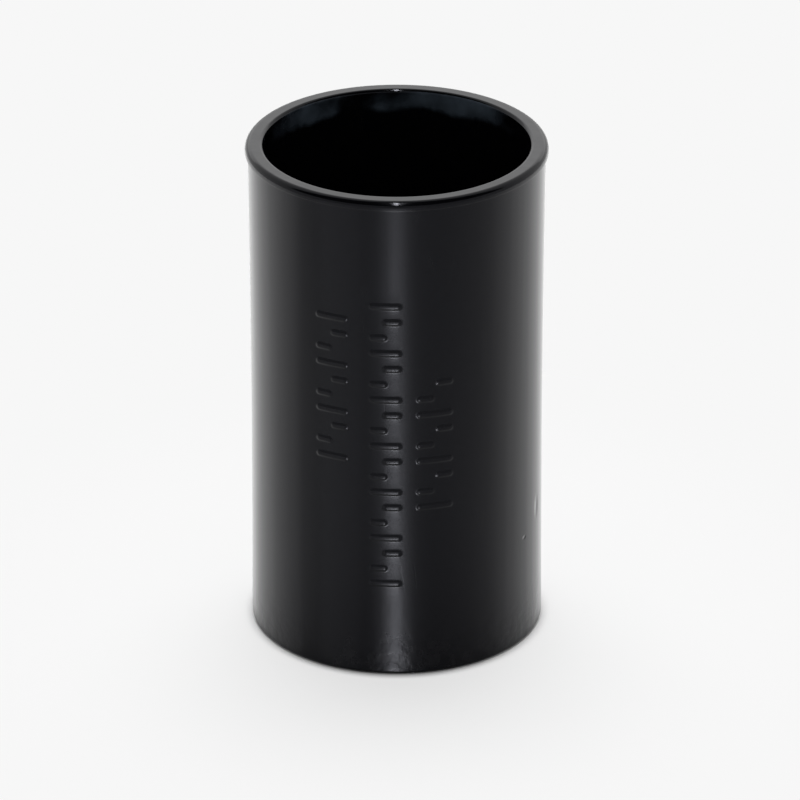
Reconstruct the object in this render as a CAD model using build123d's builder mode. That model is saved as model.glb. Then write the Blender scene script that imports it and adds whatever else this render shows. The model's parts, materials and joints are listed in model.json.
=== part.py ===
from build123d import *
import os

# Straight one-piece coupler that joins two lengths of round plastic conduit end to end.
# Millimetres. +Z runs along the tube, the origin is the middle of the foot end's plane,
# the lipped end is up, and the raised marks face -Y.

# The pipe that each socket takes
pipe_diameter = 20.0
pipe_clearance = 0.3

# The tube. The outside draws in a little between its ends, as a cooled moulding does.
coupler_length = 40.0
wall_thickness = 1.25
waist_relief = 0.1
foot_edge_radius = 0.25

# The mouth of each socket: a slight taper that guides the pipe in, with a rounded edge
lead_in_depth = 1.4
lead_in_step = 0.08
mouth_edge_radius = 0.28

# The low lip round the outside of the upper end only
lip_height = 0.68
lip_overhang = 0.22
lip_edge_radius = 0.48
lip_root_radius = 0.12

# The ring inside, halfway along, that each pipe stops against
stop_width = 1.6
stop_height = 1.0
stop_edge_radius = 0.25

# Raised marks: plain bars across three rows that run up the tube
mark_relief = 0.16
mark_root_depth = 0.3
mark_width = 0.42
mark_pitch = 1.3
short_mark_arc = 6.5

# Each row's place round the tube from -Y, the arc of its long bars, how many bars it has,
# and how far its middle stands above mid-length
left_row_angle = -26.0
left_row_arc = 13.0
left_row_marks = 10
left_row_rise = 4.15

middle_row_angle = -4.5
middle_row_arc = 12.0
middle_row_marks = 19
middle_row_rise = -0.4

right_row_angle = 15.0
right_row_arc = 14.0
right_row_marks = 9
right_row_rise = -0.4

# Sizes that follow from those above
socket_radius = (pipe_diameter + pipe_clearance) / 2
mouth_radius = socket_radius + lead_in_step
end_radius = socket_radius + wall_thickness
waist_radius = end_radius - waist_relief
lip_radius = end_radius + lip_overhang
lip_underside = coupler_length - lip_height
stop_radius = socket_radius - stop_height
mid_length = coupler_length / 2
stop_top = mid_length + stop_width / 2
stop_bottom = mid_length - stop_width / 2


def corner(sketch, radius, height):
    """The section's corner nearest to a radius and a height."""
    return sketch.vertices().sort_by_distance((radius, height))[0]


def radial_plane(angle):
    """Upright plane through the axis, drawn outwards at an angle round the tube from -Y."""
    return Plane.XZ.rotated((0, 0, angle - 90))


def mark_heights(count, rise):
    """Middle heights of a row's bars, evenly spaced about a point above mid-length."""
    first = mid_length + rise - mark_pitch * (count - 1) / 2
    return [first + mark_pitch * number for number in range(count)]


# The tube is its own section, turned once round the axis.
with BuildPart() as coupler:
    with BuildSketch(Plane.XZ) as section:
        with BuildLine():
            ThreePointArc(
                (end_radius, 0),
                (waist_radius, lip_underside / 2),
                (end_radius, lip_underside),
            )
            Polyline(
                (end_radius, lip_underside),
                (lip_radius, lip_underside),
                (lip_radius, coupler_length),
                (mouth_radius, coupler_length),
                (socket_radius, coupler_length - lead_in_depth),
                (socket_radius, stop_top),
                (stop_radius, stop_top),
                (stop_radius, stop_bottom),
                (socket_radius, stop_bottom),
                (socket_radius, lead_in_depth),
                (mouth_radius, 0),
                (end_radius, 0),
            )
        make_face()
        fillet(corner(section, lip_radius, coupler_length), lip_edge_radius)
        fillet(corner(section, end_radius, lip_underside), lip_root_radius)
        fillet(corner(section, mouth_radius, coupler_length), mouth_edge_radius)
        fillet(corner(section, stop_radius, stop_top), stop_edge_radius)
        fillet(corner(section, stop_radius, stop_bottom), stop_edge_radius)
        fillet(corner(section, mouth_radius, 0), mouth_edge_radius)
        fillet(corner(section, end_radius, 0), foot_edge_radius)
    revolve(axis=Axis.Z)

    # Bars come in turn as long, short on the left and short on the right. Those of one kind
    # in a row are their sections, turned together through their arc.
    bar_middle = waist_radius + (mark_relief - mark_root_depth) / 2
    for angle, long_arc, count, rise in (
        (left_row_angle, left_row_arc, left_row_marks, left_row_rise),
        (middle_row_angle, middle_row_arc, middle_row_marks, middle_row_rise),
        (right_row_angle, right_row_arc, right_row_marks, right_row_rise),
    ):
        left_edge = angle - long_arc / 2
        right_edge = angle + long_arc / 2
        kinds = (
            (left_edge, long_arc),
            (left_edge, short_mark_arc),
            (right_edge - short_mark_arc, short_mark_arc),
        )
        for turn, (start, arc) in enumerate(kinds):
            heights = mark_heights(count, rise)[turn :: len(kinds)]
            with BuildSketch(radial_plane(start)):
                with Locations(*[(bar_middle, height) for height in heights]):
                    Rectangle(mark_relief + mark_root_depth, mark_width)
            revolve(axis=Axis.Z, revolution_arc=arc)

coupler.part.label = "coupler"

os.makedirs("parts", exist_ok=True)
export_step(coupler.part, "parts/coupler.step")
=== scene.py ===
"""Straight one-piece coupler for round plastic conduit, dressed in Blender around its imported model."""
import json
import logging
import math
from dataclasses import dataclass
from enum import Enum
from typing import List, Mapping, Optional, Sequence, Tuple, Union

import bpy
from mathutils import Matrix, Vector


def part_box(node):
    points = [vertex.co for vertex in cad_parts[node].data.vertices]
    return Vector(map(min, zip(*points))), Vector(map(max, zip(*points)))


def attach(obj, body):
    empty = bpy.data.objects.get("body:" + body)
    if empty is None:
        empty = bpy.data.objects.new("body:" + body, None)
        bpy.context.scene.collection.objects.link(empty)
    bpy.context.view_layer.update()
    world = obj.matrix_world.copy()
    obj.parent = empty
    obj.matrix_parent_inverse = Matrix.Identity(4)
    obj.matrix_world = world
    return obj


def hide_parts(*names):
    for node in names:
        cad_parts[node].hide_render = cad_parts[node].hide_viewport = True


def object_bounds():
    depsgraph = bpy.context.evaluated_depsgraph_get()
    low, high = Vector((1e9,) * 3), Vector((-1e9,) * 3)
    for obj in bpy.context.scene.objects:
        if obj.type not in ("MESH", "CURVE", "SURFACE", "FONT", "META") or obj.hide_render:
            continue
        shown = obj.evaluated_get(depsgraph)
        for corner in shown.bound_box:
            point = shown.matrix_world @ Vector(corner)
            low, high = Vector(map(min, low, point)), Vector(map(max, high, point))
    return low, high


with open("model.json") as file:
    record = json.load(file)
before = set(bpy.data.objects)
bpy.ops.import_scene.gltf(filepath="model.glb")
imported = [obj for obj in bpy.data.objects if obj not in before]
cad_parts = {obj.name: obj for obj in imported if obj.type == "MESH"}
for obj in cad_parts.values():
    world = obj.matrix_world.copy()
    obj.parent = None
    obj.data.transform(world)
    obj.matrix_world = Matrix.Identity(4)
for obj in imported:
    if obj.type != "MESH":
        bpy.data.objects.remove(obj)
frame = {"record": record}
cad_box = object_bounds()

MM = 0.001
NODE = "coupler"
BODY = "root"

Colour = Tuple[float, float, float]
Span = Tuple[float, float]
Key = Union[str, int]
Socket = bpy.types.NodeSocket
Fed = Union[float, int, bool, Sequence[float], Socket, bpy.types.Material]

log = logging.getLogger("coupler")


class Graph:
    """Adds nodes to a tree and joins them, so that a tree reads like a recipe."""

    def __init__(self, tree: bpy.types.NodeTree) -> None:
        """Starts on a tree.

        Args:
            tree: The tree that the nodes go into.
        """
        self.tree = tree

    def feed(self, socket: Socket, value: Fed) -> None:
        """Links a socket to another one, or sets it to a plain value.

        Args:
            socket: The input to feed.
            value: An output socket, or a plain value.
        """
        if isinstance(value, Socket):
            self.tree.links.new(value, socket)
        else:
            socket.default_value = value

    def add(
        self, kind: str, inputs: Optional[Mapping[Key, Fed]] = None, **settings: object
    ) -> bpy.types.Node:
        """Adds a node with its settings and inputs.

        Args:
            kind: The node's type.
            inputs: What each input takes, by its name or by its number among the shown ones.
            **settings: The node's own properties.

        Returns:
            The new node.
        """
        node = self.tree.nodes.new(kind)
        for name, setting in settings.items():
            setattr(node, name, setting)
        shown = [socket for socket in node.inputs if socket.enabled]
        for key, value in (inputs or {}).items():
            named = (socket for socket in shown if socket.name == key)
            self.feed(shown[key] if isinstance(key, int) else next(named), value)
        return node

    def math(self, operation: str, *values: Fed) -> Socket:
        """Adds a Math node.

        Args:
            operation: The operation's name.
            *values: Its operands.

        Returns:
            The result's socket.
        """
        return self.add("ShaderNodeMath", dict(enumerate(values)), operation=operation).outputs[0]

    def ramp(self, value: Fed, start: Fed, end: Fed, low: Fed = 0.0, high: Fed = 1.0) -> Socket:
        """Maps a value smoothly from low at start to high at end, and holds it outside.

        Args:
            value: The value to map.
            start: Where the result is low.
            end: Where the result is high.
            low: The result at the start.
            high: The result at the end.

        Returns:
            The result's socket.
        """
        fed = {"Value": value, "From Min": start, "From Max": end, "To Min": low, "To Max": high}
        return self.add("ShaderNodeMapRange", fed, interpolation_type="SMOOTHSTEP").outputs["Result"]

    def vector(self, x: Fed, y: Fed, z: Fed) -> Socket:
        """Joins three values.

        Args:
            x: The first value.
            y: The second value.
            z: The third value.

        Returns:
            The vector's socket.
        """
        return self.add("ShaderNodeCombineXYZ", {"X": x, "Y": y, "Z": z}).outputs[0]

    def parts(self, vector: Fed) -> Mapping[str, Socket]:
        """Splits a vector into its X, Y and Z."""
        return self.add("ShaderNodeSeparateXYZ", {0: vector}).outputs

    def length(self, vector: Fed) -> Socket:
        """Measures a vector."""
        return self.add("ShaderNodeVectorMath", {0: vector}, operation="LENGTH").outputs["Value"]


class ShapeTree(Graph):
    """A Geometry Nodes tree with named inputs that ends in plain geometry of one material."""

    def __init__(self, name: str, sizes: Sequence[str], counts: Sequence[str]) -> None:
        """Makes the tree's inputs and its input node.

        Args:
            name: The tree's name.
            sizes: Names of the inputs that are lengths or angles.
            counts: Names of the inputs that are whole numbers.
        """
        super().__init__(bpy.data.node_groups.new(name, "GeometryNodeTree"))
        kinds = {"Geometry": "NodeSocketGeometry", "Material": "NodeSocketMaterial"}
        kinds.update({title: "NodeSocketFloat" for title in sizes})
        kinds.update({title: "NodeSocketInt" for title in counts})
        make = self.tree.interface.new_socket
        self.keys = {
            title: make(title, in_out="INPUT", socket_type=kind).identifier
            for title, kind in kinds.items()
        }
        make("Geometry", in_out="OUTPUT", socket_type="NodeSocketGeometry")
        self.given = self.tree.nodes.new("NodeGroupInput").outputs

    def close(self, geometry: Socket) -> None:
        """Ends the tree in real geometry with its material.

        Args:
            geometry: What the tree has made.
        """
        real = self.add("GeometryNodeRealizeInstances", {"Geometry": geometry}).outputs[0]
        fed = {"Geometry": real, "Material": self.given["Material"]}
        dressed = self.add("GeometryNodeSetMaterial", fed).outputs[0]
        self.add("NodeGroupOutput", {"Geometry": dressed})

    def put_on(self, piece: bpy.types.Object, values: Mapping[str, Fed]) -> None:
        """Adds the tree to a piece as a modifier.

        Args:
            piece: The object that takes the modifier.
            values: The named inputs' values.
        """
        modifier = piece.modifiers.new(self.tree.name, "NODES")
        modifier.node_group = self.tree
        for title, value in values.items():
            modifier[self.keys[title]] = value


def made_plain(piece: bpy.types.Object) -> None:
    """Turns a piece's evaluated shape into its own mesh and takes its modifiers off.

    Args:
        piece: The object to settle.
    """
    shape = piece.evaluated_get(bpy.context.evaluated_depsgraph_get())
    mesh = bpy.data.meshes.new_from_object(shape)
    mesh.name = piece.name
    piece.modifiers.clear()
    piece.data = mesh


def in_scene(name: str, data: bpy.types.ID) -> bpy.types.Object:
    """Makes an object and links it to the scene.

    Args:
        name: The object's name.
        data: Its mesh, light or camera.

    Returns:
        The new object.
    """
    made = bpy.data.objects.new(name, data)
    bpy.context.scene.collection.objects.link(made)
    return made


def material_graph(name: str) -> Tuple[bpy.types.Material, Graph, bpy.types.Node]:
    """Makes an empty node material.

    Args:
        name: The material's name.

    Returns:
        The material, its graph and its output node.
    """
    material = bpy.data.materials.new(name)
    material.use_nodes = True
    material.node_tree.nodes.clear()
    graph = Graph(material.node_tree)
    return material, graph, graph.add("ShaderNodeOutputMaterial")


def mirrored_rays(graph: Graph) -> Socket:
    """Tells the rays that show a background in a reflection or through glass from all others.

    Args:
        graph: The graph of a backdrop's material or of the world.

    Returns:
        A socket that is 1 for glossy and transmission rays.
    """
    rays = graph.add("ShaderNodeLightPath").outputs
    return graph.math("MAXIMUM", rays["Is Glossy Ray"], rays["Is Transmission Ray"])


@dataclass(frozen=True)
class Nick:
    """A small shallow dent in the wall.

    Its angle is in degrees round from -Y, and its height and sizes are in metres.
    """

    angle: float
    height: float
    half_width: float
    half_height: float


@dataclass(frozen=True)
class MouldedPlastic:
    """Glossy black plastic as it left the mould, with flow lines, handling scuffs, fine scratches and
    rubbed patches in the mouth that carry a painted sheen.

    Lengths are in metres. The patterns read Object coordinates.
    """

    name: str = "black_plastic_as_moulded"
    pigment: Colour = (0.002, 0.002, 0.0026)
    bloom: Colour = (0.012, 0.012, 0.0125)
    # painted sheen: this pale grey-blue in the mouth patches stands in for light on the inner wall
    mouth_bloom: Colour = (0.058, 0.076, 0.097)
    ior: float = 1.5
    facing_gloss: Colour = (0.205, 0.209, 0.234)
    roughness: float = 0.1
    roughness_spread: float = 0.04
    scuffed_roughness: float = 0.14
    mouth_roughness: float = 0.55
    flow_width: float = 2.2 * MM
    flow_length: float = 55 * MM
    flow_depth: float = 0.018 * MM
    flow_lean: float = 1.0
    peel_size: float = 0.8 * MM
    peel_depth: float = 0.0007 * MM
    scratch_size: float = 3.5 * MM
    scratch_depth: float = 0.0015 * MM
    scratch_stretch: float = 0.12
    scratch_leans: Span = (24.0, -31.0)
    scratch_line: float = 0.012
    scratch_patch: float = 5.25 * MM
    scratch_patch_range: Span = (0.52, 0.64)
    scratch_wear: float = 0.35
    scuff_size: float = 0.95 * MM
    scuff_range: Span = (0.32, 0.72)
    scuff_roll: float = 7.0
    scuff_bloom: float = 0.35
    stray_scuff_size: float = 7.6 * MM
    stray_scuff_range: Span = (0.6, 0.8)
    stray_scuff_share: float = 0.4
    cloud_size: float = 11.4 * MM
    foot_band: float = 6.0 * MM
    mouth_band: float = 1.55 * MM
    mouth_fade: float = 0.3 * MM
    mouth_ragged: float = 2.0 * MM
    mouth_edge_fade: float = 0.04 * MM
    mouth_patch: float = 4.2 * MM
    mouth_patch_range: Span = (0.33, 0.7)
    mouth_shift: float = -3.0 * MM
    mouth_side: Span = (3.0 * MM, 7.0 * MM)
    nick_depth: float = 0.04 * MM
    nicks: Tuple[Nick, ...] = (
        Nick(60.9, 8.95 * MM, 0.36 * MM, 0.22 * MM),
        Nick(73.4, 10.55 * MM, 0.6 * MM, 1.3 * MM),
    )

    def noise(self, graph: Graph, place: Socket, size: float, detail: float) -> Socket:
        """Adds a noise pattern.

        Args:
            graph: The material's graph.
            place: The coordinates that it reads.
            size: The size of its patches.
            detail: How many finer layers it has.

        Returns:
            The pattern's socket, from 0 to 1.
        """
        fed = {"Vector": place, "Scale": 1 / size, "Detail": detail}
        return graph.add("ShaderNodeTexNoise", fed).outputs[0]

    def stretched(self, graph: Graph, place: Socket, scale: Sequence[float], turn: float) -> Socket:
        """Turns and stretches the coordinates that a pattern reads.

        Args:
            graph: The material's graph.
            place: The coordinates to change.
            scale: How many times finer the pattern gets along each axis.
            turn: How far it leans from upright, in degrees.

        Returns:
            The new coordinates' socket.
        """
        lean = (math.radians(turn), math.radians(turn), 0)
        fed = {"Vector": place, "Rotation": lean, "Scale": scale}
        return graph.add("ShaderNodeMapping", fed).outputs[0]

    def scuffs(self, graph: Graph, place: Socket) -> Socket:
        """Patches that are rubbed dull, mostly near the foot.

        Args:
            graph: The material's graph.
            place: The coordinates that the patches read.

        Returns:
            A socket that is 0 where the surface is clean and 1 where it is most rubbed.
        """
        foot = graph.ramp(graph.parts(place)["Z"], self.foot_band, 0.0)
        patches = graph.ramp(self.noise(graph, place, self.scuff_size, detail=3.0), *self.scuff_range)
        strays = self.noise(graph, place, self.stray_scuff_size, detail=3.0)
        strays = graph.ramp(strays, *self.stray_scuff_range, 0.0, self.stray_scuff_share)
        return graph.math("MULTIPLY", patches, graph.math("MAXIMUM", strays, foot))

    def rubbed_mouth(self, graph: Graph, place: Socket, tube: "TubeSizes") -> Socket:
        """Cloudy patches on the +Y side of the lead-in. They are rubbed rougher where pipes have been
        pushed in, and their pale grey-blue colour is a painted sheen of light on the inner wall.

        Args:
            graph: The material's graph.
            place: The coordinates that the patches read.
            tube: The tube's sizes.

        Returns:
            A socket that is 0 where the surface is clean and 1 where it is most rubbed and the painted
            sheen is strongest.
        """
        parts = graph.parts(place)
        across = graph.length(graph.vector(parts["X"], parts["Y"], 0.0))
        inside = graph.ramp(across, tube.mouth_radius + self.mouth_edge_fade, tube.mouth_radius)
        shift = (self.mouth_shift, 0, 0)
        moved = graph.add("ShaderNodeMapping", {"Vector": place, "Location": shift}).outputs[0]
        clouds = self.noise(graph, moved, self.mouth_patch, detail=4.0)
        uneven = graph.math("SUBTRACT", clouds, 0.5)
        ragged = graph.math("MULTIPLY_ADD", uneven, self.mouth_ragged, parts["Z"])
        start = tube.length - self.mouth_band
        high = graph.ramp(ragged, start - self.mouth_fade, start + self.mouth_fade)
        one_side = graph.ramp(parts["Y"], *self.mouth_side)
        patches = graph.math("MULTIPLY", graph.ramp(clouds, *self.mouth_patch_range), one_side)
        return graph.math("MULTIPLY", patches, graph.math("MULTIPLY", high, inside))

    def dents(self, graph: Graph, place: Socket, tube: "TubeSizes") -> Socket:
        """Adds the nicks.

        Args:
            graph: The material's graph.
            place: The coordinates that the nicks read.
            tube: The tube's sizes.

        Returns:
            A socket that is 1 in the middle of a nick and 0 elsewhere.
        """
        dents: Fed = 0.0
        for nick in self.nicks:
            turn = math.radians(nick.angle)
            radius = tube.wall_radius(nick.height)
            middle = (radius * math.sin(turn), -radius * math.cos(turn), nick.height)
            half_sizes = (nick.half_width, nick.half_width, nick.half_height)
            away = graph.add("ShaderNodeVectorMath", {0: place, 1: middle}, operation="SUBTRACT")
            scaled = graph.add(
                "ShaderNodeVectorMath", {0: away.outputs[0], 1: half_sizes}, operation="DIVIDE"
            )
            dent = graph.ramp(graph.length(scaled.outputs[0]), 1.0, 0.0)
            dents = graph.math("MAXIMUM", dents, dent)
        return dents

    def mixed(self, graph: Graph, share: Fed, first: Fed, second: Fed) -> Socket:
        """Mixes two colours.

        Args:
            graph: The material's graph.
            share: How much there is of the second one.
            first: The first colour.
            second: The second colour.

        Returns:
            The mixed colour's socket.
        """
        mix = graph.add("ShaderNodeMix", data_type="RGBA")
        taken = [socket for socket in mix.inputs if socket.enabled]
        for socket, value in zip(taken, (share, first, second)):
            graph.feed(socket, value)
        return next(socket for socket in mix.outputs if socket.enabled)

    def scratches(self, graph: Graph, place: Socket) -> Socket:
        """Thin wandering scratches in a few patches.

        Args:
            graph: The material's graph.
            place: The coordinates that the scratches read.

        Returns:
            A socket that is 1 along a scratch and 0 elsewhere.
        """
        lines = []
        for turn in self.scratch_leans:
            leaning = self.stretched(graph, place, (1, 1, self.scratch_stretch), turn)
            waves = self.noise(graph, leaning, self.scratch_size, detail=1.0)
            away = graph.math("ABSOLUTE", graph.math("SUBTRACT", waves, 0.5))
            lines.append(graph.ramp(away, self.scratch_line, 0.0))
        both = graph.math("MAXIMUM", *lines)
        patches = self.noise(graph, place, self.scratch_patch, detail=2.0)
        return graph.math("MULTIPLY", both, graph.ramp(patches, *self.scratch_patch_range))

    def material(self, tube: "TubeSizes") -> bpy.types.Material:
        """Builds the finish.

        Args:
            tube: The tube's sizes, for where it is rubbed.

        Returns:
            The material.
        """
        material, graph, output = material_graph(self.name)
        place = graph.add("ShaderNodeTexCoord").outputs["Object"]
        scuffs = self.scuffs(graph, place)
        mouth = self.rubbed_mouth(graph, place, tube)
        scratches = self.scratches(graph, place)
        cloud = self.noise(graph, place, self.cloud_size, detail=3.0)

        flow_stretch = (1, 1, self.flow_width / self.flow_length)
        flow_place = self.stretched(graph, place, flow_stretch, self.flow_lean)
        flow = self.noise(graph, flow_place, self.flow_width, detail=2.0)
        flow_bump = graph.add("ShaderNodeBump", {"Distance": self.flow_depth, "Height": flow})
        peel = self.noise(graph, place, self.peel_size, detail=2.0)
        peel_bump = graph.add(
            "ShaderNodeBump",
            {"Distance": self.peel_depth, "Height": peel, "Normal": flow_bump.outputs[0]},
        )
        scratch_bump = graph.add(
            "ShaderNodeBump",
            {
                "Distance": self.scratch_depth,
                "Height": graph.math("MULTIPLY_ADD", scuffs, self.scuff_roll, scratches),
                "Normal": peel_bump.outputs[0],
            },
            invert=True,
        )

        nicks = self.dents(graph, place, tube)
        nick_bump = graph.add(
            "ShaderNodeBump",
            {"Distance": self.nick_depth, "Height": nicks, "Normal": scratch_bump.outputs[0]},
            invert=True,
        )

        worn = graph.math("MAXIMUM", scuffs, graph.math("MULTIPLY", scratches, self.scratch_wear))
        spread = graph.math("MULTIPLY", graph.math("SUBTRACT", cloud, 0.5), self.roughness_spread)
        clean = graph.math("ADD", spread, self.roughness)
        rough = graph.math("MULTIPLY_ADD", worn, self.scuffed_roughness - self.roughness, clean)
        rough = graph.math("MULTIPLY_ADD", mouth, self.mouth_roughness - self.roughness, rough)
        bloom = graph.math("MULTIPLY", worn, self.scuff_bloom)
        colour = self.mixed(graph, bloom, (*self.pigment, 1), (*self.bloom, 1))
        # the mouth patches get a painted sheen colour that stands in for light on the inner wall; their
        # higher roughness above is real rubbing
        colour = self.mixed(graph, mouth, colour, (*self.mouth_bloom, 1))

        plastic = graph.add(
            "ShaderNodeBsdfPrincipled",
            {
                "Base Color": colour,
                "Roughness": rough,
                "IOR": self.ior,
                "Specular Tint": (*self.facing_gloss, 1),
                "Normal": nick_bump.outputs[0],
            },
        )
        graph.feed(output.inputs["Surface"], plastic.outputs[0])
        return material


@dataclass(frozen=True)
class PaleSheet:
    """A pale, slightly glossy plastic sheet.

    Away from the object it goes over into the plain background. Lengths are in metres.
    """

    name: str = "pale_sheet"
    colour: float = 0.9
    grain: float = 0.012
    fibre_size: float = 2.5 * MM
    fibre_roughness: float = 0.05
    roughness: float = 0.3
    ior: float = 1.5
    shine: float = 0.5
    shine_from: float = 11.5 * MM
    shine_to: float = 12.35 * MM
    shadow_share: float = 0.28
    contact_from: float = 11.2 * MM
    contact_to: float = 12.2 * MM
    plain_from: float = 12 * MM
    plain_to: float = 45 * MM
    mirrored_plain_from: float = 0.3
    mirrored_plain_to: float = 0.6

    def material(self, background: float) -> bpy.types.Material:
        """Builds the sheet's finish.

        Args:
            background: The level of the plain background.

        Returns:
            The material.
        """
        material, graph, output = material_graph(self.name)
        place = graph.add("ShaderNodeTexCoord").outputs["Object"]
        fed = {"Vector": place, "Scale": 1 / self.fibre_size, "Detail": 3.0}
        fibres = graph.math("SUBTRACT", graph.add("ShaderNodeTexNoise", fed).outputs[0], 0.5)
        level = graph.math("MULTIPLY_ADD", fibres, self.grain, self.colour)
        rough = graph.math("MULTIPLY_ADD", fibres, self.fibre_roughness, self.roughness)
        camera_rays = graph.add("ShaderNodeLightPath").outputs["Is Camera Ray"]
        away = graph.length(place)
        shiny = graph.ramp(away, self.shine_from, self.shine_to, 0.0, self.shine)
        shiny = graph.math("MULTIPLY", shiny, graph.math("SUBTRACT", 1.0, camera_rays))
        sheet = graph.add(
            "ShaderNodeBsdfPrincipled",
            {
                "Base Color": graph.vector(level, level, level),
                "Roughness": rough,
                "IOR": self.ior,
                "Specular IOR Level": shiny,
            },
        )
        plain = graph.add("ShaderNodeEmission", {"Color": (background, background, background, 1)})
        near = graph.ramp(away, self.contact_from, self.contact_to, 0.0, 1 - self.shadow_share)
        far = graph.ramp(away, self.plain_from, self.plain_to, 0.0, self.shadow_share)
        shown = graph.math("MULTIPLY", graph.math("ADD", near, far), camera_rays)
        far_mirrored = graph.ramp(away, self.mirrored_plain_from, self.mirrored_plain_to)
        seen = graph.math("MULTIPLY_ADD", far_mirrored, mirrored_rays(graph), shown)
        both = graph.add("ShaderNodeMixShader", {0: seen, 1: sheet.outputs[0], 2: plain.outputs[0]})
        graph.feed(output.inputs["Surface"], both.outputs[0])
        return material


class Bar(Enum):
    """The kinds of raised bar, in the order in which they take turns up a row."""

    LONG = 0
    SHORT_ON_THE_LEFT = 1
    SHORT_ON_THE_RIGHT = 2


@dataclass(frozen=True)
class MarkRow:
    """A row of plain raised bars that runs up the tube.

    Angles are in degrees round the tube from -Y, and rise is in metres above mid-length.
    """

    name: str
    angle: float
    long_arc: float
    count: int
    rise: float


@dataclass(frozen=True)
class MarkSizes:
    """What all the raised bars share. Lengths are in metres."""

    relief: float = 0.075 * MM
    width: float = 0.42 * MM
    pitch: float = 1.3 * MM
    short_arc: float = 6.5
    edge: float = 0.26 * MM

    def lowest(self, row: MarkRow, mid_length: float) -> float:
        """Height of a row's lowest bar."""
        return mid_length + row.rise - self.pitch * (row.count - 1) / 2


@dataclass(frozen=True)
class TubeSizes:
    """Sizes of the tube in metres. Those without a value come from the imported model."""

    length: float
    lip_radius: float
    socket_radius: float
    stop_top: float
    stop_bottom: float
    lip_height: float = 0.68 * MM
    lip_overhang: float = 0.22 * MM
    lip_edge: float = 0.48 * MM
    lip_root: float = 0.12 * MM
    waist_relief: float = 0.1 * MM
    foot_edge: float = 0.32 * MM
    mouth_edge: float = 0.28 * MM
    lead_in_depth: float = 1.4 * MM
    lead_in_step: float = 0.08 * MM
    stop_height: float = 1.0 * MM
    stop_edge: float = 0.25 * MM
    lead_in_blend: float = 0.4 * MM
    stop_root: float = 0.08 * MM
    blunt_edge: float = 0.04 * MM

    @classmethod
    def from_frame(cls) -> "TubeSizes":
        """Reads the outer size from the node's box, and the sockets and stop ring from the mounts.

        Returns:
            The sizes.
        """
        low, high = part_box(NODE)
        mounts = {mount["name"]: mount for mount in frame["record"]["mounts"]}
        return cls(
            length=high.z - low.z,
            lip_radius=(high.x - low.x) / 2,
            socket_radius=mounts["upper_socket"]["dims"]["r_mm"] * MM,
            stop_top=mounts["upper_stop"]["pos_m"][2],
            stop_bottom=mounts["lower_stop"]["pos_m"][2],
        )

    @property
    def end_radius(self) -> float:
        """Outside radius at the ends of the wall."""
        return self.lip_radius - self.lip_overhang

    @property
    def waist_radius(self) -> float:
        """Outside radius where the wall is slimmest."""
        return self.end_radius - self.waist_relief

    @property
    def mouth_radius(self) -> float:
        """Inside radius where the lead-in meets an end face."""
        return self.socket_radius + self.lead_in_step

    @property
    def lip_underside(self) -> float:
        """Height at which the lip starts."""
        return self.length - self.lip_height

    def wall_radius(self, height: float) -> float:
        """Outside radius of the wall, which draws in a little between its ends.

        Args:
            height: Height above the foot.

        Returns:
            The radius there.
        """
        from_middle = 2 * height / self.lip_underside - 1
        return self.end_radius - self.waist_relief * (1 - from_middle ** 2)


@dataclass(frozen=True)
class Corner:
    """A corner of the section, with the radius of its rounding, in metres."""

    radius: float
    height: float
    rounding: float
    steps: int = 8

    @property
    def place(self) -> Vector:
        """The corner's own point."""
        return Vector((self.radius, self.height))

    def rounded(self, before: Vector, after: Vector, support: float) -> List[Vector]:
        """Points of the corner's rounding, with a support point on each side of it.

        Args:
            before: The point that the section comes from.
            after: The point that the section goes on to.
            support: How far the support points lie from the rounding.

        Returns:
            The points in order.
        """
        back = (before - self.place).normalized()
        onward = (after - self.place).normalized()
        half = back.angle(onward) / 2
        reach = self.rounding / math.tan(half)
        centre = self.place + (back + onward).normalized() * self.rounding / math.sin(half)
        first = self.place + back * reach - centre
        last = self.place + onward * reach - centre
        sweep = math.pi - 2 * half
        arc = []
        for step in range(self.steps + 1):
            share = step / self.steps
            turned = first * math.sin((1 - share) * sweep) + last * math.sin(share * sweep)
            arc.append(centre + turned / math.sin(sweep))
        return [arc[0] + back * support, *arc, arc[-1] + onward * support]


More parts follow.
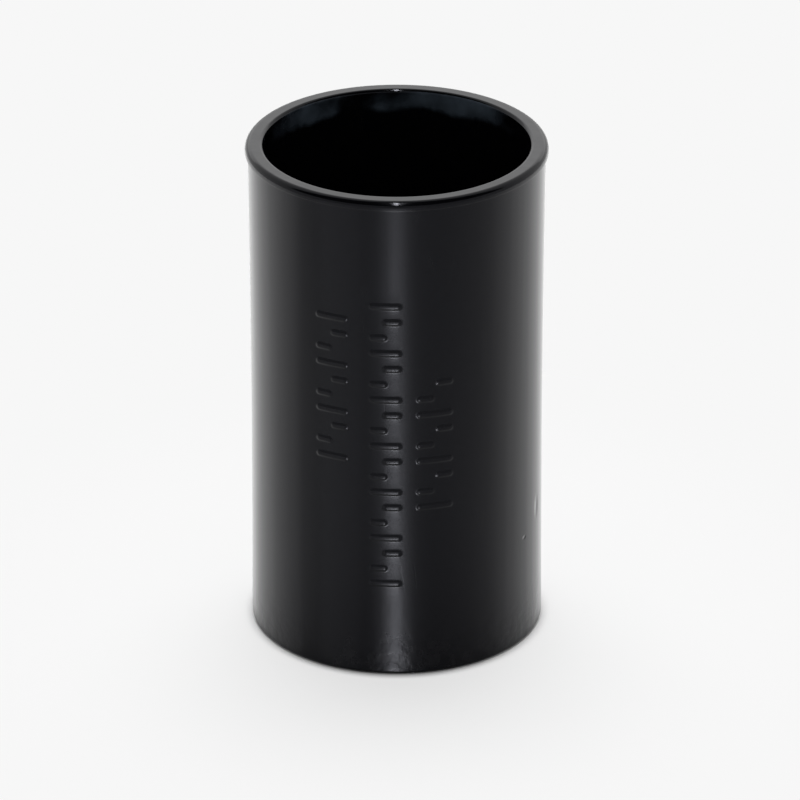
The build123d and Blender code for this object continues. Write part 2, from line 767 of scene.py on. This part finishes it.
@dataclass
class Coupler:
    """The one moulding: a turned tube with a lip, two sockets, a stop ring and rows of raised bars."""

    tube: TubeSizes
    marks: MarkSizes = MarkSizes()
    rows: Tuple[MarkRow, ...] = (
        MarkRow("left row", -26.0, 13.0, 10, 4.15 * MM),
        MarkRow("middle row", -4.5, 12.0, 19, -0.4 * MM),
        MarkRow("right row", 15.0, 14.0, 9, -0.4 * MM),
    )
    finish: MouldedPlastic = MouldedPlastic()
    fine_from: float = -34.0
    fine_arc: float = 57.5
    fine_columns: int = 144
    coarse_columns: int = 100
    rows_per_mark: int = 13
    wall_step: float = 1.2 * MM
    support: float = 0.03 * MM
    weld: float = 0.002 * MM

    def corners(self) -> List[Corner]:
        """The section's corners in order: up the outside, over the rim, down the bore, under the foot.

        Returns:
            The corners.
        """
        tube = self.tube
        lead_in_end = tube.length - tube.lead_in_depth
        stop_radius = tube.socket_radius - tube.stop_height
        return [
            Corner(tube.end_radius, 0.0, tube.foot_edge),
            Corner(tube.end_radius, tube.lip_underside, tube.lip_root, steps=6),
            Corner(tube.lip_radius, tube.lip_underside, tube.blunt_edge, steps=3),
            Corner(tube.lip_radius, tube.length, tube.lip_edge, steps=14),
            Corner(tube.mouth_radius, tube.length, tube.mouth_edge, steps=10),
            Corner(tube.socket_radius, lead_in_end, tube.lead_in_blend, steps=2),
            Corner(tube.socket_radius, tube.stop_top, tube.stop_root, steps=4),
            Corner(stop_radius, tube.stop_top, tube.stop_edge, steps=6),
            Corner(stop_radius, tube.stop_bottom, tube.stop_edge, steps=6),
            Corner(tube.socket_radius, tube.stop_bottom, tube.stop_root, steps=4),
            Corner(tube.socket_radius, tube.lead_in_depth, tube.lead_in_blend, steps=2),
            Corner(tube.mouth_radius, 0.0, tube.mouth_edge),
        ]

    def wall_heights(self, low: float, high: float) -> List[float]:
        """Heights of the outside wall's rows, close together at the bars and open elsewhere.

        Args:
            low: Top of the foot's rounding.
            high: Bottom of the lip's root.

        Returns:
            The heights from low to high.
        """
        middle = self.tube.length / 2
        bars = {
            round((self.marks.lowest(row, middle) + number * self.marks.pitch) / MM, 4) * MM
            for row in self.rows
            for number in range(row.count)
        }
        reach = (self.marks.width + self.marks.edge) / 2 + self.support
        heights = []
        for bar in sorted(bars):
            for step in range(self.rows_per_mark):
                heights.append(bar + reach * (2 * step / (self.rows_per_mark - 1) - 1))
        lowest, highest = heights[0], heights[-1]
        for start, end in ((low, lowest), (highest, high)):
            spans = math.ceil((end - start) / self.wall_step)
            heights += [start + (end - start) * step / spans for step in range(1, spans)]
        return sorted(heights)

    def outline(self) -> List[Vector]:
        """The closed section's points, each a radius and a height.

        Returns:
            The points in order.
        """
        corners = self.corners()
        points: List[Vector] = []
        for number, corner in enumerate(corners):
            before = corners[number - 1].place
            after = corners[(number + 1) % len(corners)].place
            points += corner.rounded(before, after, self.support)
            if number == 0:
                root = corners[1].height - corners[1].rounding
                heights = self.wall_heights(points[-1].y, root - self.support)
                points += [Vector((corner.radius, height)) for height in heights]
        waisted = self.tube.end_radius - self.tube.foot_edge
        for point in points:
            if point.x > waisted and point.y < self.tube.lip_underside:
                point.x += self.tube.wall_radius(point.y) - self.tube.end_radius
        return points

    def turning_tree(self) -> ShapeTree:
        """A tree that turns the section once round the axis, with fine columns where the bars are.

        Returns:
            The tree.
        """
        tree = ShapeTree("turned_tube", ("Fine From", "Fine Arc"), ("Fine Columns", "Coarse Columns"))
        given = tree.given
        section = given["Geometry"]
        size = tree.add("GeometryNodeAttributeDomainSize", {0: section}).outputs["Point Count"]
        loop = tree.math("ADD", size, 1.0)
        columns = tree.math("ADD", given["Fine Columns"], given["Coarse Columns"])
        grid = tree.add(
            "GeometryNodeMeshGrid", {"Vertices X": tree.math("ADD", columns, 1.0), "Vertices Y": loop}
        ).outputs["Mesh"]
        number = tree.add("GeometryNodeInputIndex").outputs[0]
        column = tree.math("FLOOR", tree.math("DIVIDE", tree.math("ADD", number, 0.5), loop))
        row = tree.math("SUBTRACT", number, tree.math("MULTIPLY", column, loop))
        sample = tree.add(
            "GeometryNodeSampleIndex", {0: section}, data_type="FLOAT_VECTOR", domain="POINT"
        )
        taken = {socket.name: socket for socket in sample.inputs if socket.enabled}
        tree.feed(taken["Value"], tree.add("GeometryNodeInputPosition").outputs[0])
        tree.feed(taken["Index"], tree.math("MODULO", row, size))
        point = tree.parts(sample.outputs[0])

        fine_share = tree.math("MINIMUM", tree.math("DIVIDE", column, given["Fine Columns"]), 1.0)
        past = tree.math("MAXIMUM", tree.math("SUBTRACT", column, given["Fine Columns"]), 0.0)
        coarse_share = tree.math("DIVIDE", past, given["Coarse Columns"])
        coarse_arc = tree.math("SUBTRACT", math.tau, given["Fine Arc"])
        fine_turn = tree.math("MULTIPLY_ADD", given["Fine Arc"], fine_share, given["Fine From"])
        angle = tree.math("MULTIPLY_ADD", coarse_arc, coarse_share, fine_turn)
        x = tree.math("MULTIPLY", point["X"], tree.math("SINE", angle))
        y = tree.math("MULTIPLY", point["X"], tree.math("MULTIPLY", tree.math("COSINE", angle), -1.0))
        placed = tree.add(
            "GeometryNodeSetPosition", {"Geometry": grid, "Position": tree.vector(x, y, point["Z"])}
        ).outputs[0]
        fed = {"Geometry": placed, "Distance": self.weld}
        closed = tree.add("GeometryNodeMergeByDistance", fed).outputs[0]
        smooth = tree.add("GeometryNodeSetShadeSmooth", {"Geometry": closed}).outputs[0]
        tree.close(smooth)
        return tree

    def marking_tree(self) -> ShapeTree:
        """A tree that raises one row of bars from the outside wall.

        The bars are laid out flat as lines. Each point of the wall rises by how near it is to one.

        Returns:
            The tree.
        """
        sizes = ("Row Angle", "Long Arc", "Short Arc", "Lowest", "Pitch")
        sizes += ("Width", "Edge", "Radius", "Relief", "Inner Limit")
        tree = ShapeTree("raised_marks", sizes, ("Count",))
        given = tree.given
        start = tree.math("MULTIPLY_ADD", given["Long Arc"], -0.5, given["Row Angle"])
        row_end = tree.math("ADD", start, given["Long Arc"])
        right_start = tree.math("SUBTRACT", row_end, given["Short Arc"])
        starts = {Bar.LONG: start, Bar.SHORT_ON_THE_LEFT: start, Bar.SHORT_ON_THE_RIGHT: right_start}
        arcs = {bar: given["Long Arc"] if bar is Bar.LONG else given["Short Arc"] for bar in Bar}
        turn = tree.math("MODULO", tree.add("GeometryNodeInputIndex").outputs[0], float(len(Bar)))
        bar_start = self.chosen(tree, turn, starts)
        bar_arc = self.chosen(tree, turn, arcs)

        line = tree.add(
            "GeometryNodeMeshLine",
            {
                "Count": given["Count"],
                "Start Location": tree.vector(0.0, given["Lowest"], 0.0),
                "Offset": tree.vector(0.0, given["Pitch"], 0.0),
            },
        ).outputs[0]
        half_width = tree.math("MULTIPLY", given["Width"], 0.5)
        inset = tree.math("MULTIPLY_ADD", given["Radius"], bar_start, half_width)
        spots = tree.add(
            "GeometryNodeSetPosition", {"Geometry": line, "Offset": tree.vector(inset, 0.0, 0.0)}
        ).outputs[0]
        unit = tree.add("GeometryNodeMeshLine", {"Count": 2, "Offset": (1.0, 0.0, 0.0)}).outputs[0]
        stretch = tree.math("SUBTRACT", tree.math("MULTIPLY", given["Radius"], bar_arc), given["Width"])
        laid = tree.add(
            "GeometryNodeInstanceOnPoints",
            {"Points": spots, "Instance": unit, "Scale": tree.vector(stretch, 1.0, 1.0)},
        ).outputs[0]
        bars = tree.add("GeometryNodeRealizeInstances", {"Geometry": laid}).outputs[0]

        place = tree.add("GeometryNodeInputPosition").outputs[0]
        wall = tree.parts(place)
        angle = tree.math("ARCTAN2", wall["X"], tree.math("MULTIPLY", wall["Y"], -1.0))
        flat = tree.vector(tree.math("MULTIPLY", given["Radius"], angle), wall["Z"], 0.0)
        near = tree.add(
            "GeometryNodeProximity", {0: bars, "Sample Position": flat}, target_element="EDGES"
        )
        half_edge = tree.math("MULTIPLY", given["Edge"], 0.5)
        foot_of_edge = tree.math("ADD", half_width, half_edge)
        top_of_edge = tree.math("SUBTRACT", half_width, half_edge)
        raised = tree.ramp(near.outputs["Distance"], foot_of_edge, top_of_edge)

        outward = tree.vector(wall["X"], wall["Y"], 0.0)
        radius = tree.length(outward)
        share = tree.math("DIVIDE", tree.math("MULTIPLY", given["Relief"], raised), radius)
        push = tree.add(
            "ShaderNodeVectorMath", {0: outward, "Scale": share}, operation="SCALE"
        ).outputs[0]
        outside = tree.math("GREATER_THAN", radius, given["Inner Limit"])
        lifted = tree.add(
            "GeometryNodeSetPosition",
            {"Geometry": given["Geometry"], "Selection": outside, "Offset": push},
        ).outputs[0]
        tree.close(lifted)
        return tree

    @staticmethod
    def chosen(tree: ShapeTree, turn: Socket, options: Mapping[Bar, Fed]) -> Socket:
        """Takes one value for each kind of bar.

        Args:
            tree: The tree to add to.
            turn: The number of the bar's kind.
            options: The value for each kind.

        Returns:
            The chosen value's socket.
        """
        switch = tree.add("GeometryNodeIndexSwitch", data_type="FLOAT")
        while len(switch.index_switch_items) < len(options):
            switch.index_switch_items.new()
        tree.feed(switch.inputs["Index"], turn)
        for bar, value in options.items():
            tree.feed(switch.inputs[str(bar.value)], value)
        return switch.outputs[0]

    def build(self) -> bpy.types.Object:
        """Builds the moulding and dresses it.

        Returns:
            The finished piece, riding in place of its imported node.
        """
        material = self.finish.material(self.tube)
        section = bpy.data.meshes.new("section")
        section.from_pydata([(point.x, 0.0, point.y) for point in self.outline()], [], [])
        piece = in_scene("coupler_moulding", section)
        turned = self.turning_tree()
        turned.put_on(
            piece,
            {
                "Material": material,
                "Fine From": math.radians(self.fine_from),
                "Fine Arc": math.radians(self.fine_arc),
                "Fine Columns": self.fine_columns,
                "Coarse Columns": self.coarse_columns,
            },
        )
        marking = self.marking_tree()
        for row in self.rows:
            marking.put_on(
                piece,
                {
                    "Material": material,
                    "Row Angle": math.radians(row.angle),
                    "Long Arc": math.radians(row.long_arc),
                    "Short Arc": math.radians(self.marks.short_arc),
                    "Lowest": self.marks.lowest(row, self.tube.length / 2),
                    "Pitch": self.marks.pitch,
                    "Width": self.marks.width,
                    "Edge": self.marks.edge,
                    "Radius": self.tube.waist_radius,
                    "Relief": self.marks.relief,
                    "Inner Limit": (self.tube.socket_radius + self.tube.waist_radius) / 2,
                    "Count": row.count,
                },
            )
        made_plain(piece)
        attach(piece, BODY)
        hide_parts(NODE)
        return piece


class Reach(Enum):
    """What a lamp's light does."""

    LIGHT_ONLY = "light only"
    GLINT_ONLY = "glint only"
    GLINT_IN_FLOOR = "glint in the floor only"


@dataclass(frozen=True)
class Lamp:
    """An oval lamp that faces the object. Angles are in degrees and the distance is in metres."""

    name: str
    azimuth: float
    elevation: float
    distance: float
    half_width: float
    half_height: float
    radiance: float
    reach: Reach

    def build(self, target: Vector, floor_only: bpy.types.Collection) -> bpy.types.Object:
        """Hangs the lamp.

        Args:
            target: The point that it faces.
            floor_only: The collection that holds the floor alone.

        Returns:
            The lamp's object.
        """
        light = bpy.data.lights.new(self.name, "AREA")
        light.shape = "ELLIPSE"
        light.size = 2 * self.distance * math.tan(math.radians(self.half_width))
        light.size_y = 2 * self.distance * math.tan(math.radians(self.half_height))
        area = math.pi * light.size * light.size_y / 4
        light.energy = self.radiance * math.pi * area
        lamp = in_scene(self.name, light)
        lamp.location = target + self.distance * away_from_object(self.azimuth, self.elevation)
        lamp.rotation_euler = (lamp.location - target).to_track_quat("Z", "Y").to_euler()
        lamp.visible_camera = False
        lamp.visible_diffuse = self.reach is Reach.LIGHT_ONLY
        lamp.visible_glossy = self.reach is not Reach.LIGHT_ONLY
        if self.reach is Reach.GLINT_IN_FLOOR:
            lamp.light_linking.receiver_collection = floor_only
        return lamp


def away_from_object(azimuth: float, elevation: float) -> Vector:
    """Direction from the object to a place round it.

    Args:
        azimuth: Degrees round from -Y towards +X.
        elevation: Degrees above the horizon.

    Returns:
        The unit vector.
    """
    turn, lift = math.radians(azimuth), math.radians(elevation)
    return Vector((math.sin(turn) * math.cos(lift), -math.cos(turn) * math.cos(lift), math.sin(lift)))


@dataclass
class Studio:
    """The floor, the light and the camera. Lengths are in metres and angles in degrees."""

    object_centre: Vector
    background: float = 0.93
    sky: float = 0.4
    dark_from: float = 24.0
    dark_behind_from: float = 82.0
    dark_softness: float = 6.0
    behind_fade: float = 0.3
    floor_radius: float = 3.0
    floor_sides: int = 128
    sheet: PaleSheet = PaleSheet()
    lamps: Tuple[Lamp, ...] = (
        Lamp("tent_top", 180.0, 62.0, 1.6, 26.0, 26.0, 2.9, Reach.LIGHT_ONLY),
        Lamp("lamp_by_the_lens", -1.1, 35.0, 0.6, 3.0, 3.0, 2450.0, Reach.GLINT_IN_FLOOR),
        Lamp("slit_overhead", 0.0, 66.0, 1.2, 0.7, 28.0, 95.0, Reach.GLINT_ONLY),
        Lamp("pale_backdrop", 180.0, 25.0, 1.4, 35.0, 11.0, 0.6, Reach.GLINT_ONLY),
        Lamp("front_left_panel", -45.0, 26.0, 1.3, 16.0, 12.0, 4.0, Reach.GLINT_IN_FLOOR),
        Lamp("back_left_panel", -122.0, 25.0, 1.3, 38.0, 20.0, 2.8, Reach.GLINT_IN_FLOOR),
        Lamp("back_right_panel", 122.0, 25.0, 1.3, 38.0, 20.0, 1.9, Reach.GLINT_IN_FLOOR),
    )
    camera_elevation: float = 25.4
    camera_distance: float = 0.503
    camera_aim: Tuple[float, float, float] = (0.25 * MM, -0.72 * MM, 18.48 * MM)
    lens_mm: float = 291.4
    sensor_mm: float = 36.0

    def build_floor(self) -> bpy.types.Object:
        """Lays the floor.

        Returns:
            The floor's object.
        """
        mesh = bpy.data.meshes.new("floor")
        turns = [math.tau * side / self.floor_sides for side in range(self.floor_sides)]
        radius = self.floor_radius
        rim = [(radius * math.cos(turn), radius * math.sin(turn), 0.0) for turn in turns]
        mesh.from_pydata(rim, [], [tuple(range(self.floor_sides))])
        mesh.materials.append(self.sheet.material(self.background))
        floor = in_scene("floor", mesh)
        return floor

    def build_world(self) -> None:
        """Lights the world evenly, and shows it as the plain background.

        Reflections show that background too, with an unlit room above it. The room comes low down in
        front of the object, and stays overhead behind it.
        """
        world = bpy.data.worlds.new("studio")
        world.use_nodes = True
        world.node_tree.nodes.clear()
        graph = Graph(world.node_tree)
        towards = graph.parts(graph.add("ShaderNodeTexCoord").outputs["Generated"])
        elevation = graph.math("DEGREES", graph.math("ARCSINE", towards["Z"]))
        behind = graph.ramp(towards["Y"], 0.0, self.behind_fade)
        rise = self.dark_behind_from - self.dark_from
        edge = graph.math("MULTIPLY_ADD", behind, rise, self.dark_from)
        top = graph.math("ADD", edge, self.dark_softness)
        room = graph.ramp(elevation, edge, top, self.background, 0.0)
        camera_rays = graph.add("ShaderNodeLightPath").outputs["Is Camera Ray"]
        mirrored = mirrored_rays(graph)
        shown = graph.math("MULTIPLY", camera_rays, self.background)
        shown = graph.math("MULTIPLY_ADD", mirrored, room, shown)
        lighting = graph.math("SUBTRACT", graph.math("SUBTRACT", 1.0, camera_rays), mirrored)
        strength = graph.math("MULTIPLY_ADD", lighting, self.sky, shown)
        plain = graph.add("ShaderNodeBackground", {"Color": (1, 1, 1, 1), "Strength": strength})
        graph.add("ShaderNodeOutputWorld", {"Surface": plain.outputs[0]})
        world.cycles.sampling_method = "NONE"
        bpy.context.scene.world = world

    def build_camera(self) -> bpy.types.Object:
        """Sets up the camera as the photograph was taken, from a little above and far away.

        Returns:
            The camera's object.
        """
        data = bpy.data.cameras.new("camera")
        data.sensor_width = self.sensor_mm
        data.lens = self.lens_mm
        camera = in_scene("camera", data)
        direction = away_from_object(0.0, self.camera_elevation)
        camera.location = self.object_centre + self.camera_distance * direction
        sight = camera.location - Vector(self.camera_aim)
        camera.rotation_euler = sight.to_track_quat("Z", "Y").to_euler()
        bpy.context.scene.camera = camera
        return camera

    def build(self) -> None:
        """Builds the floor, the world, the lamps and the camera."""
        floor_only = bpy.data.collections.new("floor_only")
        floor_only.objects.link(self.build_floor())
        self.build_world()
        for lamp in self.lamps:
            lamp.build(self.object_centre, floor_only)
        self.build_camera()
        bpy.context.scene.view_settings.view_transform = "Standard"


def report(piece: bpy.types.Object) -> None:
    """Logs a piece's size.

    Args:
        piece: The finished piece.
    """
    triangles = sum(len(face.vertices) - 2 for face in piece.data.polygons)
    size = " x ".join(f"{side / MM:.2f}" for side in piece.dimensions)
    log.info("%s: %s mm, %d triangles", piece.name, size, triangles)


def main() -> None:
    """Builds the studio and the coupler, and reports the piece."""
    logging.basicConfig(level=logging.INFO, format="%(message)s")
    low, high = cad_box
    Studio(object_centre=(low + high) / 2).build()
    coupler = Coupler(tube=TubeSizes.from_frame()).build()
    report(coupler)


if __name__ == "__main__":
    main()
